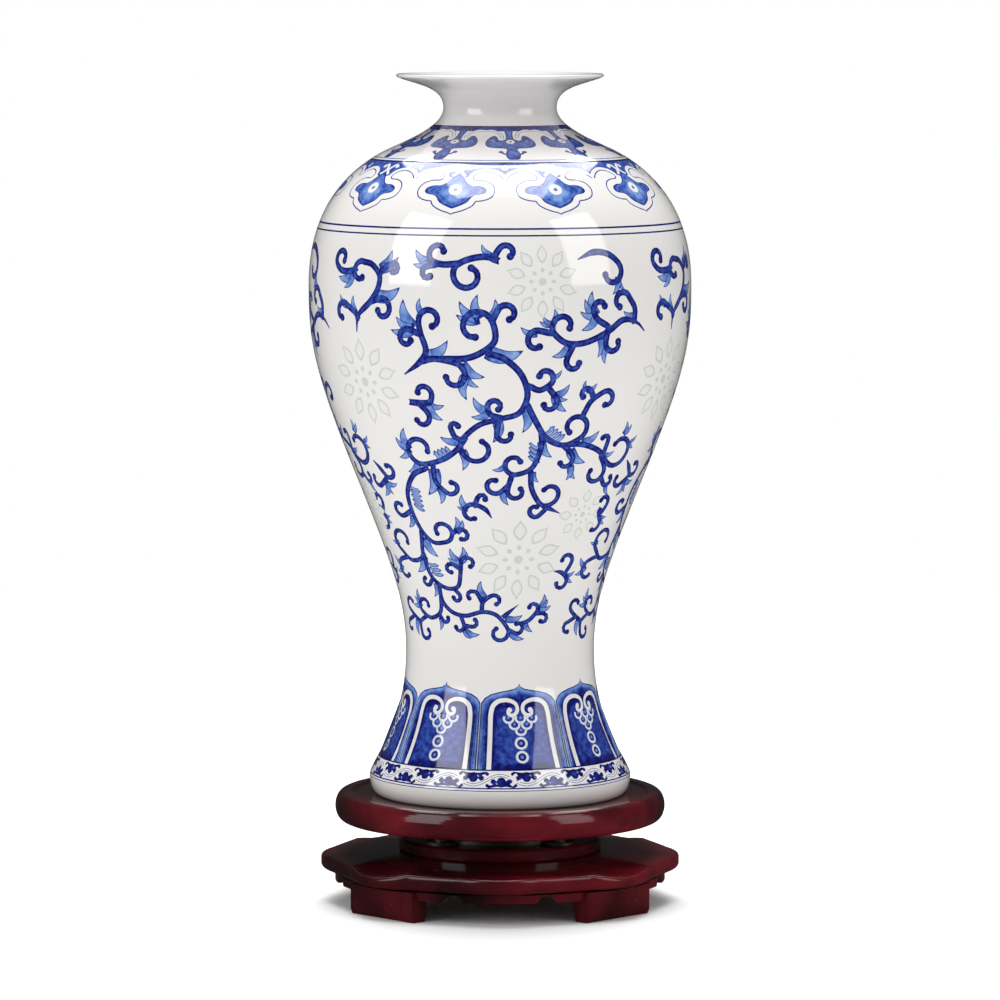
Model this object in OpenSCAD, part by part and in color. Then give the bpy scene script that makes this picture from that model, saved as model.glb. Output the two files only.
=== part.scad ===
// Porcelain baluster vase on a turning wooden stand.
// Origin: on the floor, on the turning axis. +Z is up and -Y is the front.

/* [Vase] */
// Height of the vase alone
vase_h = 330; // [320:1:350]
// Radius of the belly, the widest part
belly_r = 87.4; // [80:0.2:92]
// Radius of the waist, above the spread foot
waist_r = 43.2; // [40:0.2:48]
// Largest radius of the spread foot
foot_r = 60; // [57:0.5:62]
// Smallest radius of the neck
neck_r = 25.8; // [24:0.2:30]
// Radius of the flat lip
lip_r = 47.2; // [44:0.2:50]
// Thickness of the porcelain wall
wall = 3.8; // [3:0.1:4.5]
// Thickness of the porcelain at the lip
lip_t = 1.6; // [1.2:0.1:2.4]
// Thickness of the vase's floor
floor_t = 4; // [3:0.5:6]

/* [Stand] */
// Height of the feet
leg_h = 14; // [12:0.5:18]
// Thickness of the base plate at its middle
plate_t = 10; // [9:0.5:12]
// Radius of the base plate at its lobes
plate_r = 84; // [82:0.5:88]
// Width of a foot along the plate's edge
leg_w = 40; // [34:1:44]
// Radius of the spacer disc
spacer_r = 46.5; // [45:0.5:52]
// Thickness of the spacer disc
spacer_t = 6; // [5:0.5:8]
// Radius of the turning top plate
top_r = 75.9; // [70:0.5:78]
// Thickness of the top plate at its rim
top_t = 13; // [12:0.5:15]
// Depth of the seat turned into the top plate
seat_d = 1; // [0.5:0.5:2]
// Radius of that seat
seat_r = 67; // [64:0.5:68]

/* [Swivel] */
// Height of the swivel between the two plates
swivel_h = 8; // [7.6:0.2:9]
// Radius of the circle that the balls run on
track_r = 27; // [26.5:0.5:27.5]
// Number of balls
balls = 18; // [8:1:24]
// Radius of the circle of the plate ears' screws
ear_r = 38; // [37.5:0.5:38.5]

/* [Hidden] */
$fn = 96;

// Heights above the floor
plate_z = leg_h;
spacer_z = plate_z + plate_t;
swivel_z = spacer_z + spacer_t;
top_z = swivel_z + swivel_h;
seat_z = top_z + top_t - seat_d;

// Foot, apron, dowel and nail
leg_out_r = plate_r - 5;
leg_in_r = leg_out_r - 12;
toe_in = 4;
apron_h = 3.8;
apron_out_r = plate_r - 8;
apron_t = 3.5;
notch_r = 5;
notch_at = 16;
dowel_r = 3;
dowel_h = 12;
dowel_ring_r = leg_in_r + 5.5;
nail_r = 0.6;
nail_l = 9;
nail_z = 8;

// Swivel
gauge = 1.2;
ball_r = 2.4;
run_gap = 0.05;
race_h = 3;
race_in_r = 21;
race_out_r = 33.5;
ear_w = 13;
tube_r = 18.5;
flange_r = 20.5;
flange_t = 0.8;
screw_r = 1.6;
pan_r = 3.2;
pan_h = 2.2;
lower_screw_l = 10;
upper_screw_l = 9;
csk_r = 3.4;
csk_h = 2.6;
spacer_screw_l = 13;
spacer_screw_ring_r = 12;

wood = [0.27, 0.04, 0.06];
wood_dark = [0.2, 0.03, 0.04];
birch = [0.72, 0.58, 0.4];
steel = [0.7, 0.71, 0.73];
glaze = [0.92, 0.91, 0.9];

// ---- Curves ----

function bezier(c, t) =
    pow(1 - t, 3) * c[0] + 3 * pow(1 - t, 2) * t * c[1] + 3 * (1 - t) * t * t * c[2] + pow(t, 3) * c[3];
function heading(c, t) =
    let (d = pow(1 - t, 2) * (c[1] - c[0]) + 2 * (1 - t) * t * (c[2] - c[1]) + t * t * (c[3] - c[2]))
    d / norm(d);
// Out of the wall, for a curve that climbs
function outward(c, t) = [heading(c, t)[1], -heading(c, t)[0]];

// ---- Vase ----

// The outside as [radius, height] curves, from the foot up to the lip
foot_top_z = 8.5;
lip_z = vase_h - 1.5;
bend_r = 65;
shoulder_r = 54.6;
foot_curve = [[foot_r, foot_top_z], [foot_r, 14.5], [waist_r, 30.5], [waist_r, 66.5]];
waist_curve = [[waist_r, 66.5], [waist_r, 91], [bend_r - 13.4, 110.5], [bend_r, 144.5]];
body_curve = [[bend_r, 144.5], [bend_r + 19.3, 192.5], [belly_r, 206.5], [belly_r, 231.5]];
shoulder_curve = [
    [belly_r, 231.5], [belly_r, 242], [shoulder_r + 33.5, vase_h - 54.7], [shoulder_r, vase_h - 36]
];
neck_curve = [
    [shoulder_r, vase_h - 36], [shoulder_r - 7.7, vase_h - 31.7], [neck_r, vase_h - 25], [neck_r, vase_h - 15.4]
];
lip_curve = [[neck_r, vase_h - 15.4], [neck_r, vase_h - 5.6], [lip_r - 8.4, vase_h - 5], [lip_r - 0.4, lip_z]];
curves = [foot_curve, waist_curve, body_curve, shoulder_curve, neck_curve, lip_curve];
steps = 14;
ring_in_r = 51;
ring_out_r = 56;
recess_h = 4;
inside_z = recess_h + floor_t;
fillet_r = 5;

function wall_at(k, t) = k < 5 ? wall : wall + (lip_t - wall) * t;
outer_wall = [for (k = [0:5], i = [0:steps - 1]) bezier(curves[k], i / steps)];
inner_wall = [
    for (k = [5:-1:0], i = [steps:-1:k == 0 ? 3 : 1])
        let (t = i / steps) bezier(curves[k], t) - wall_at(k, t) * outward(curves[k], t)
];
foot_edge = [
    for (a = [-90:15:-15])
        [ring_out_r + (foot_r - ring_out_r) * cos(a), foot_top_z * (1 + sin(a))]
];
rim_n = outward(lip_curve, 1);
rim_d = heading(lip_curve, 1);
rim_edge = [
    for (a = [0:20:160]) lip_curve[3] + lip_t / 2 * ((cos(a) - 1) * rim_n + sin(a) * rim_d)
];
// The inside curves from the lowest point of the inner wall down to the flat floor
inner_end = inner_wall[len(inner_wall) - 1];
floor_edge = [
    for (a = [75:-15:0])
        [inner_end[0] - fillet_r * (1 - sin(a)), inside_z + fillet_r * (1 - cos(a))]
];

module vase() {
    color(glaze) translate([0, 0, seat_z]) rotate_extrude()
        polygon(concat(
            [[ring_in_r, 0]], foot_edge, outer_wall, rim_edge, inner_wall, floor_edge,
            [[0, inside_z], [0, recess_h], [ring_in_r - 2.5, recess_h]]
        ));
}

// ---- Base: plate, feet, aprons ----

module four() {
    for (i = [0:3]) rotate(45 + 90 * i) children();
}

// A small lobe in the middle of each side ends in cusps, and a larger lobe lies over each foot
cusp_at = 11.5;
lobe_at = 31;
lobe_h = 4;
notch_edge_r = plate_r - lobe_h;
// Radius of the plate's edge at angle a, counted from the middle of the front side
function edge_r(a) =
    let (s = abs((a + 360 + 45) % 90 - 45))
    s < cusp_at ? notch_edge_r + 2.5 * cos(90 * s / cusp_at)
    : s < lobe_at ? notch_edge_r - sin(180 * (s - cusp_at) / (lobe_at - cusp_at))
    : notch_edge_r + lobe_h * sin(90 * (s - lobe_at) / (45 - lobe_at));
plate_edge = [for (a = [0:2:358]) edge_r(a) * [sin(a), -cos(a)]];
flat_r = 48;
brow_t = 6.5;

module base_plate() {
    color(wood) difference() {
        intersection() {
            translate([0, 0, plate_z]) linear_extrude(plate_t) polygon(plate_edge);
            translate([0, 0, plate_z]) rotate_extrude() polygon([
                [0, 0], [leg_out_r, 0], [plate_r + 1, 3.5], [plate_r + 1, brow_t],
                [flat_r, plate_t], [0, plate_t]
            ]);
        }
        four() translate([dowel_ring_r, 0, plate_z - 1]) cylinder(r = dowel_r, h = dowel_h / 2 + 1);
        four() translate([spacer_screw_ring_r, 0, plate_z - 1]) cylinder(r = screw_r, h = plate_t + 2);
        four() translate([spacer_screw_ring_r, 0, plate_z]) cylinder(r1 = csk_r, r2 = screw_r, h = csk_h);
        four() translate([ear_r, 0, swivel_z + gauge - lower_screw_l])
            cylinder(r = screw_r, h = lower_screw_l);
    }
}

leg_side = concat(
    [[leg_in_r + 1, 0], [leg_out_r - toe_in, 0]],
    [for (i = [1:8]) bezier(
        [[leg_out_r - toe_in, 0], [leg_out_r - toe_in + 1, leg_h * 0.25],
         [leg_out_r + 0.4, leg_h * 0.35], [leg_out_r, leg_h]], i / 8)],
    [[leg_in_r - 1, leg_h]]
);

// One foot, under a plate corner at the given angle from +X
module foot(angle) {
    color(wood) rotate(angle) difference() {
        intersection() {
            rotate([90, 0, 0]) linear_extrude(leg_w, center = true) polygon(leg_side);
            linear_extrude(leg_h) polygon([
                [leg_in_r - 1, -leg_w / 2], [leg_out_r - 3, -leg_w / 2], [leg_out_r + 1, -leg_w / 8],
                [leg_out_r + 1, leg_w / 8], [leg_out_r - 3, leg_w / 2], [leg_in_r - 1, leg_w / 2]
            ]);
        }
        translate([dowel_ring_r, 0, leg_h - dowel_h / 2]) cylinder(r = dowel_r, h = dowel_h);
        translate([leg_out_r - 0.8 - nail_l, 9, nail_z]) rotate([0, 90, 0])
            cylinder(r = nail_r, h = nail_l + 5);
    }
}

module foot_front_left() { foot(225); }
module foot_front_right() { foot(315); }
module foot_back_left() { foot(135); }
module foot_back_right() { foot(45); }

// One apron, with two round notches, centred at the given angle from +X
module apron(angle) {
    reach = 2 * apron_out_r;
    color(wood_dark) rotate(angle) difference() {
        intersection() {
            translate([0, 0, leg_h - apron_h]) difference() {
                cylinder(r = apron_out_r, h = apron_h);
                translate([0, 0, -1]) cylinder(r = apron_out_r - apron_t, h = apron_h + 2);
            }
            linear_extrude(leg_h) polygon([[0, 0], [reach, -reach], [reach, reach]]);
        }
        for (side = [-1, 1]) rotate(side * 45) translate([0, -leg_w / 2, 0]) cube([reach, leg_w, leg_h]);
        for (side = [-1, 1]) rotate(side * notch_at)
            translate([apron_out_r - 2 * apron_t, 0, leg_h - apron_h - 1.8]) rotate([0, 90, 0])
                cylinder(r = notch_r, h = 4 * apron_t);
    }
}

module apron_front() { apron(270); }
module apron_right() { apron(0); }
module apron_back() { apron(90); }
module apron_left() { apron(180); }

module foot_dowels() {
    color(birch) four() translate([dowel_ring_r, 0, leg_h - dowel_h / 2])
        cylinder(r = dowel_r, h = dowel_h);
}

module foot_nails() {
    color(steel) four() translate([leg_out_r - 0.8 - nail_l, 9, nail_z]) rotate([0, 90, 0])
        cylinder(r = nail_r, h = nail_l);
}

// ---- Spacer and swivel ----

module spacer_disc() {
    color(wood) difference() {
        translate([0, 0, spacer_z]) rotate_extrude() polygon([
            [0, 0], [spacer_r - 0.8, 0], [spacer_r, 0.8], [spacer_r, spacer_t - 1],
            [spacer_r - 1, spacer_t], [0, spacer_t]
        ]);
        four() translate([spacer_screw_ring_r, 0, spacer_z - 1])
            cylinder(r = screw_r, h = spacer_screw_l - plate_t + 1);
        four() translate([ear_r, 0, spacer_z - 1]) cylinder(r = screw_r, h = spacer_t + 2);
    }
}

// A countersunk screw with its head's face at z = 0 and its shank upwards
module countersunk_screw(length) {
    difference() {
        union() {
            cylinder(r1 = csk_r, r2 = screw_r, h = csk_h);
            cylinder(r = screw_r, h = length);
        }
        for (turn = [0, 90]) rotate(turn) translate([0, 0, 0.4]) cube([4, 0.8, 1.2], center = true);
    }
}

// A pan head screw with its head's seat at z = 0, its head above and its shank below
module pan_screw(length) {
    difference() {
        union() {
            cylinder(r = pan_r, h = pan_h - 0.7);
            translate([0, 0, pan_h - 0.7]) cylinder(r1 = pan_r, r2 = pan_r - 1, h = 0.7);
            translate([0, 0, -length]) cylinder(r = screw_r, h = length);
        }
        for (turn = [0, 90]) rotate(turn) translate([0, 0, pan_h]) cube([3.6, 0.8, 1.6], center = true);
    }
}

module spacer_screws() {
    color(steel) four() translate([spacer_screw_ring_r, 0, plate_z]) countersunk_screw(spacer_screw_l);
}

// Half of the swivel, with its flat ears at z = 0: a ring that holds the ball track, and four ears
module swivel_plate() {
    difference() {
        union() {
            rotate_extrude() polygon([
                [tube_r + 0.1, 1.4], [race_in_r, 1.4], [race_in_r, 0], [race_out_r, 0],
                [race_out_r, race_h], [tube_r + 0.1, race_h]
            ]);
            four() translate([ear_r, 0, 0]) cylinder(d = ear_w, h = gauge);
            four() translate([race_out_r - 1, -ear_w / 2, 0]) cube([ear_r - race_out_r + 1, ear_w, gauge]);
        }
        rotate_extrude() translate([track_r, swivel_h / 2]) circle(r = ball_r + run_gap, $fn = 48);
        four() translate([ear_r, 0, -1]) cylinder(r = screw_r, h = gauge + 2);
    }
}

module swivel_lower_plate() {
    color(steel) translate([0, 0, swivel_z]) swivel_plate();
}

module swivel_upper_plate() {
    color(steel) translate([0, 0, top_z]) rotate(45) mirror([0, 0, 1]) swivel_plate();
}

// The tubular rivet that holds the two halves together, fixed to the lower one
module swivel_eyelet() {
    low = swivel_z + 1.4 - flange_t;
    high = top_z - 1.4 + 2 * run_gap;
    color(steel) rotate_extrude() polygon([
        [tube_r - 1, low], [flange_r, low], [flange_r, low + flange_t], [tube_r, low + flange_t],
        [tube_r, high], [flange_r, high], [flange_r, high + flange_t], [tube_r - 1, high + flange_t]
    ]);
}

module swivel_balls() {
    color(steel) for (i = [0:balls - 1]) rotate(360 / balls * i)
        translate([track_r, 0, swivel_z + swivel_h / 2]) sphere(r = ball_r, $fn = 32);
}

module swivel_lower_screws() {
    color(steel) four() translate([ear_r, 0, swivel_z + gauge]) pan_screw(lower_screw_l);
}

module swivel_upper_screws() {
    color(steel) rotate(45) four() translate([ear_r, 0, top_z - gauge]) mirror([0, 0, 1])
        pan_screw(upper_screw_l);
}

// ---- Turning top plate ----

bulge = 4;
rim_w = 1.2;
plate_rim = [
    for (a = [-90:10:90])
        [top_r - bulge + bulge * cos(a), top_t / 2 * (1 + sin(a))]
];

module top_plate() {
    color(wood) difference() {
        translate([0, 0, top_z]) rotate_extrude() polygon(concat(
            [[0, 0]], plate_rim,
            [[seat_r + rim_w, top_t], [seat_r, top_t - seat_d], [0, top_t - seat_d]]
        ));
        rotate(45) four() translate([ear_r, 0, top_z - gauge])
            cylinder(r = screw_r, h = upper_screw_l);
    }
}

base_plate();
foot_front_left();
foot_front_right();
foot_back_left();
foot_back_right();
apron_front();
apron_right();
apron_back();
apron_left();
foot_dowels();
foot_nails();
spacer_disc();
spacer_screws();
swivel_lower_plate();
swivel_eyelet();
swivel_balls();
swivel_lower_screws();
swivel_upper_plate();
swivel_upper_screws();
top_plate();
vase();
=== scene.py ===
"""A porcelain vase, painted in underglaze blue, on a turning stand of lacquered rosewood."""
import math

import bmesh
import bpy
import numpy as np
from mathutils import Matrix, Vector, kdtree
from mathutils.geometry import delaunay_2d_cdt


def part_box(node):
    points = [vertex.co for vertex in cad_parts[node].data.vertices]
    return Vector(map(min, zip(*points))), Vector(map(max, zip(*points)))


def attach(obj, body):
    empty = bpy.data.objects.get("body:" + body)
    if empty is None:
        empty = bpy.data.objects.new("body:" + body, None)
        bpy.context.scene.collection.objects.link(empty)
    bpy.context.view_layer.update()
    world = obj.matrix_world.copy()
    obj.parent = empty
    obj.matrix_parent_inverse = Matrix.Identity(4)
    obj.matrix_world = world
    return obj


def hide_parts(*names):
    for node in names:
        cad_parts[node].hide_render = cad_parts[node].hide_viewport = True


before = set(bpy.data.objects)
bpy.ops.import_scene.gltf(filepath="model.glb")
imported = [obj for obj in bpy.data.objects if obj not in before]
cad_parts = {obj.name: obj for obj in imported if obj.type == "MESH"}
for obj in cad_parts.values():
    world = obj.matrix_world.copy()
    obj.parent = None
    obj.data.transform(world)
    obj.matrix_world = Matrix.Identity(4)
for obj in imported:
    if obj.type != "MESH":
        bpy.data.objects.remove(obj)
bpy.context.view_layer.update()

MM = 0.001
DEG = math.pi / 180
SEAT_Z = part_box("vase")[0].z / MM
VASE_H = (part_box("vase")[1].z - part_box("vase")[0].z) / MM


# ---- The turned outline of the vase: radius and height above its foot, in millimetres ----

# Radii of the outside, the wall and the lip's thickness, the foot ring and the recess inside it, the floor of
# the inside, and the heights at which the outline's curves meet
FOOT_R = 60
WAIST_R = 43.2
BEND_R = 65
BELLY_R = 87.4
SHOULDER_R = 54.6
NECK_R = 25.8
LIP_R = 46.8
WALL = 3.8
LIP_T = 1.6
RING_IN_R = 51
RING_OUT_R = 56
RECESS_H = 4
INSIDE_Z = 8
FILLET_R = 5
FOOT_TOP_Z = 8.5
WAIST_Z = 66.5
BEND_Z = 144.5
BELLY_Z = 231.5
SHOULDER_Z = VASE_H - 36
NECK_Z = VASE_H - 15.4
LIP_Z = VASE_H - 1.5

CURVES = [
    [(FOOT_R, FOOT_TOP_Z), (FOOT_R, 14.5), (WAIST_R, 30.5), (WAIST_R, WAIST_Z)],
    [(WAIST_R, WAIST_Z), (WAIST_R, 91), (BEND_R - 13.4, 110.5), (BEND_R, BEND_Z)],
    [(BEND_R, BEND_Z), (BEND_R + 19.3, 192.5), (BELLY_R, 206.5), (BELLY_R, BELLY_Z)],
    [(BELLY_R, BELLY_Z), (BELLY_R, 242), (SHOULDER_R + 33.5, VASE_H - 54.7), (SHOULDER_R, SHOULDER_Z)],
    [(SHOULDER_R, SHOULDER_Z), (SHOULDER_R - 7.7, VASE_H - 31.7), (NECK_R, VASE_H - 25), (NECK_R, NECK_Z)],
    [(NECK_R, NECK_Z), (NECK_R, VASE_H - 5.6), (LIP_R - 8, VASE_H - 5), (LIP_R, LIP_Z)],
]


def bezier(curve, t):
    """Points of a cubic curve at shares t of its parameter."""
    a, b, c, d = (np.array(p, float) for p in curve)
    t = np.asarray(t, float)[..., None]
    return (1 - t) ** 3 * a + 3 * (1 - t) ** 2 * t * b + 3 * (1 - t) * t * t * c + t ** 3 * d


def heading(curve, t):
    """The unit direction in which a cubic curve runs."""
    a, b, c, d = (np.array(p, float) for p in curve)
    t = np.asarray(t, float)[..., None]
    way = (1 - t) ** 2 * (b - a) + 2 * (1 - t) * t * (c - b) + t * t * (d - c)
    return way / np.linalg.norm(way, axis=-1, keepdims=True)


def outward(curve, t):
    """The unit normal to the right of a cubic curve, which is the outside of the vase."""
    way = heading(curve, t)
    return np.stack([way[..., 1], -way[..., 0]], -1)


def arc(centre, radius_x, radius_y, start, end, steps):
    """Points of an arc of an ellipse, between two angles in degrees."""
    turn = np.linspace(start, end, steps + 1) * DEG
    return np.stack([centre[0] + radius_x * np.cos(turn), centre[1] + radius_y * np.sin(turn)], -1)


def outer_line():
    """From the middle of the underside, out over the foot ring and up the wall to the lip."""
    recess = [(0, RECESS_H), (RING_IN_R - 3.3, RECESS_H)]
    inner_bevel = [(RING_IN_R - 2.5, RECESS_H - 0.3), (RING_IN_R - 0.4, 0.3)]
    sole = [(RING_IN_R + 0.4, 0), (RING_OUT_R, 0)]
    edge = arc((RING_OUT_R, FOOT_TOP_Z), FOOT_R - RING_OUT_R, FOOT_TOP_Z, -80, -8, 9)
    wall = [bezier(curve, np.linspace(0, 1, 60)[:-1]) for curve in CURVES]
    return np.concatenate([recess, inner_bevel, sole, edge, *wall, [CURVES[-1][3]]])


# Share of the lowest curve at which the inside leaves it for the fillet round its floor
FLOOR_SHARE = 0.22


def inner_line():
    """From the lip's outer edge, over the rim, and down the inside to the middle of the floor."""
    top = CURVES[-1]
    normal = outward(top, 1.0)
    way = heading(top, 1.0)
    turn = np.linspace(0, 160, 9) * DEG
    rounding = np.outer(np.cos(turn) - 1, normal) + np.outer(np.sin(turn), way)
    line = [np.array(top[3]) + LIP_T / 2 * rounding]
    for curve in reversed(CURVES):
        t = np.linspace(1, FLOOR_SHARE if curve is CURVES[0] else 0, 30)
        depth = WALL + (LIP_T - WALL) * t if curve is top else np.full(len(t), WALL)
        line.append(bezier(curve, t) - depth[:, None] * outward(curve, t))
    end = line[-1][-1]
    line.append(arc((end[0] - FILLET_R, INSIDE_Z + FILLET_R), FILLET_R, FILLET_R, -10, -90, 8))
    line.append([(0, INSIDE_Z)])
    return np.concatenate(line)


class Profile:
    """A turned line that knows its radius, height and normal at any distance along it."""

    def __init__(self, line):
        line = np.array(line, float)
        steps = np.hypot(*np.diff(line, axis=0).T)
        line = line[np.r_[True, steps > 1e-6]]
        steps = np.hypot(*np.diff(line, axis=0).T)
        self.s = np.r_[0, np.cumsum(steps)]
        self.r = line[:, 0]
        self.z = line[:, 1]
        way = np.gradient(line, self.s, axis=0)
        way /= np.linalg.norm(way, axis=1)[:, None]
        self.normal_r = way[:, 1]
        self.normal_z = -way[:, 0]
        # The first point of the climbing wall: nearest to the foot's top, and on its outside
        self.climb = int(np.argmin(np.abs(self.z - FOOT_TOP_Z) + (self.r < FOOT_R - 0.1) * 99))

    def radius(self, s):
        """Radius at a distance along the line."""
        return np.interp(s, self.s, self.r)

    def at_height(self, z):
        """Distance along the line of a height on the climbing wall."""
        return np.interp(z, self.z[self.climb:], self.s[self.climb:])

    def points(self, phi, s):
        """Places in metres, in the row frame. Azimuth phi is 0 at the front and grows to the right."""
        r = np.interp(s, self.s, self.r)
        z = np.interp(s, self.s, self.z) + SEAT_Z
        return np.stack([r * np.sin(phi), -r * np.cos(phi), z], -1) * MM

    def normals(self, phi, s):
        """Unit normals at the same places."""
        nr = np.interp(s, self.s, self.normal_r)
        nz = np.interp(s, self.s, self.normal_z)
        out = np.stack([nr * np.sin(phi), -nr * np.cos(phi), nz], -1)
        return out / np.linalg.norm(out, axis=-1, keepdims=True)


OUTSIDE = Profile(outer_line())
INSIDE = Profile(inner_line())

# The skin is split into columns. Painted zones begin and end at the seam, at the back
COLUMNS = 180
SEAM = -math.pi
COLUMN_ANGLES = SEAM + np.arange(COLUMNS + 1) * 2 * math.pi / COLUMNS


# ---- Brushwork: shapes on the skin, as azimuth in degrees and height in millimetres ----

# Strengths of the cobalt pigment
NAVY = 1.0
DEEP = 0.86
MID = 0.66
SOFT = 0.46
PALE = 0.28
WHITE = 0.0


class Shape:
    """A closed outline in (azimuth in radians, distance along the wall), and points inside it.

    edge and middle are the pigment at the outline and at the inner points. rice is the share of pale glaze
    that fills a cut.
    """

    def __init__(self, outline, edge, middle, inner=(), rice=0.0):
        self.outline = np.array(outline, float)
        self.edge = np.array(np.broadcast_to(edge, len(self.outline)), float)
        self.inner = np.array(inner, float).reshape(-1, 2)
        self.middle = np.array(np.broadcast_to(middle, max(1, len(self.inner))), float)
        self.rice = rice

    def turned(self, angle):
        """The same shape, further round the vase by an angle in radians."""
        step = (angle, 0)
        return Shape(self.outline + step, self.edge, self.middle, self.inner + step, self.rice)


def to_skin(points):
    """(degrees, height) points become (radians, distance along the wall)."""
    points = np.array(points, float)
    return np.stack([points[:, 0] * DEG, OUTSIDE.at_height(points[:, 1])], -1)


def smooth(points, spacing):
    """A Catmull-Rom curve through skin points, with samples about spacing millimetres apart."""
    points = np.array(points, float)
    if len(points) == 2:
        points = np.array([points[0], points.mean(0), points[1]])
    ends = [2 * points[0] - points[1], *points, 2 * points[-1] - points[-2]]
    out = []
    for p, a, b, q in zip(ends, ends[1:], ends[2:], ends[3:]):
        reach = math.hypot((b[0] - a[0]) * float(OUTSIDE.radius(a[1])), b[1] - a[1])
        t = np.linspace(0, 1, max(2, round(reach / spacing) + 1))[:-1, None]
        linear = (b - p) * t
        square = (2 * p - 5 * a + 4 * b - q) * t ** 2
        cube = (3 * a - p - 3 * b + q) * t ** 3
        out.append(0.5 * (2 * a + linear + square + cube))
    return np.concatenate([*out, points[-1:]])


def sideways(path):
    """Unit steps to the left of a path on the skin, as (radians, millimetres)."""
    radius = OUTSIDE.radius(path[:, 1])
    way = np.gradient(path, axis=0)
    way[:, 0] *= radius
    way /= np.maximum(np.linalg.norm(way, axis=1), 1e-9)[:, None]
    return np.stack([-way[:, 1] / radius, way[:, 0]], -1)


def ribbon(path, half, edge, middle):
    """A painted line of half the given widths about a path. edge and middle may vary along it."""
    side = sideways(path) * np.broadcast_to(half, len(path))[:, None]
    rim = np.broadcast_to(edge, len(path))
    core = np.broadcast_to(middle, len(path))
    outline = np.concatenate([path + side, (path - side)[::-1]])
    return Shape(outline, np.r_[rim, rim[::-1]], core[1:-1], path[1:-1])


def spot(centre, radius, edge, middle, rice=0.0, steps=12):
    """A round spot about a point of the skin."""
    turn = np.linspace(0, 2 * math.pi, steps, endpoint=False)
    across = radius / float(OUTSIDE.radius(centre[1]))
    ring = np.stack([centre[0] + across * np.cos(turn), centre[1] + radius * np.sin(turn)], -1)
    return Shape(ring, edge, middle, [centre], rice)


def disc(phi, z, radius, edge, middle, rice=0.0, steps=14):
    """A round spot, given by its azimuth in degrees, its height and its radius in millimetres."""
    return spot(to_skin([(phi, z)])[0], radius, edge, middle, rice, steps)


CURL_SHRINK = 0.48


def curl_points(start, eye, turn):
    """A spiral from start round an eye, by turn degrees, that winds in to about half of its radius."""
    start, eye = to_skin([start])[0], to_skin([eye])[0]
    radius = float(OUTSIDE.radius(eye[1]))
    across = (start[0] - eye[0]) * radius
    up = start[1] - eye[1]
    reach = math.hypot(across, up)
    angle = math.atan2(up, across)
    out = []
    steps = max(4, round(abs(turn) / 40))
    for k in range(1, steps + 1):
        now = angle + turn * DEG * k / steps
        shrunk = reach * (1 - CURL_SHRINK * (k / steps) ** 1.5)
        out.append((eye[0] + shrunk * math.cos(now) / radius, eye[1] + shrunk * math.sin(now)))
    return out


# Stems: half their width at the start and at the tip, the radius of the round tip, and how far a loose start
# looks for another stem
VINE_HALF = 1.6
VINE_TIP_HALF = 1.4
BULB_R = 1.75
JOIN_REACH = 5.0

# Leaves: how far they bow and how wide they are, as shares of their length. Buds: half the width of a row,
# and the room for each of its strokes
LEAF_BOW = 0.16
LEAF_PLUMP = 0.3885
BUD_HALF = 2.5
STROKE_PITCH = 2.3


def vine_path(points, eye=None, turn=0):
    """The line of a stem through points, and on round the eye of its curl if it has one."""
    path = [tuple(p) for p in to_skin(points)]
    if eye:
        path += curl_points(points[-1], eye, turn)
    return smooth(path, 1.3)


def gap_to(point, path):
    """Millimetres from a skin point to each point of a path."""
    radius = float(OUTSIDE.radius(point[1]))
    return np.hypot((path[:, 0] - point[0]) * radius, path[:, 1] - point[1])


def rooted(path, others):
    """The path from the nearest stem if one is in reach, and whether its start is free."""
    best = None
    for other in others:
        gaps = gap_to(path[0], other)
        k = int(np.argmin(gaps))
        if best is None or gaps[k] < best[0]:
            best = (gaps[k], other[k])
    if best is None or best[0] > JOIN_REACH:
        return path, True
    if best[0] > 0.3:
        path = np.concatenate([best[1][None], path])
    return path, False


def vine(path, free=False, bulb=True):
    """A stem along a path, with a round tip. It is thinner where the vase is, and a free start is pointed."""
    share = np.linspace(0, 1, len(path))
    size = 0.35 + 0.65 * OUTSIDE.radius(path[:, 1]) / BELLY_R
    widths = (VINE_HALF + (VINE_TIP_HALF - VINE_HALF) * share) * size
    core = np.interp(share, [0, 0.3, 0.8, 1], [MID + 0.1, MID + 0.06, MID + 0.06, MID + 0.14])
    if free:
        widths = widths * np.interp(share, [0, 0.22], [0.2, 1])
    if not bulb:
        widths = widths * np.interp(share, [0.3, 1], [1, 0.1])
        return [ribbon(path, widths, NAVY, core)]
    shapes = [ribbon(path, widths, NAVY, core), spot(path[-1], BULB_R * size[-1], NAVY, MID + 0.14)]
    if not free:
        shapes.append(spot(path[0], widths[0], DEEP, MID + 0.08))
    return shapes


def span(base, tip):
    """A start on the skin, the vase's radius there, and the way from it to the tip in millimetres."""
    base, tip = to_skin([base, tip])
    radius = float(OUTSIDE.radius(base[1]))
    return base, radius, np.array([(tip[0] - base[0]) * radius, tip[1] - base[1]])


def leaf(base, tip, bow=LEAF_BOW):
    """A pointed leaf, bowed to its left. A thin rim goes round a blade that pales to its tip."""
    base, radius, way = span(base, tip)
    length = math.hypot(*way)
    left = np.array([-way[1], way[0]])
    t = np.linspace(0, 1, 9)
    middle = np.outer(t, way) + np.outer(bow * np.sin(math.pi * t), left)
    path = base + middle / (radius, 1)
    width = LEAF_PLUMP * length * (1 - t) ** 0.9 * (t + 0.25) ** 0.5 + 0.05
    rim = ribbon(path, width, DEEP, MID)
    tone = np.linspace(MID, PALE, len(path) - 2)
    blade = ribbon(path[1:-1], np.maximum(width[1:-1] - 0.42, 0.1), tone, tone - 0.06)
    return [rim, blade]


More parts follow.
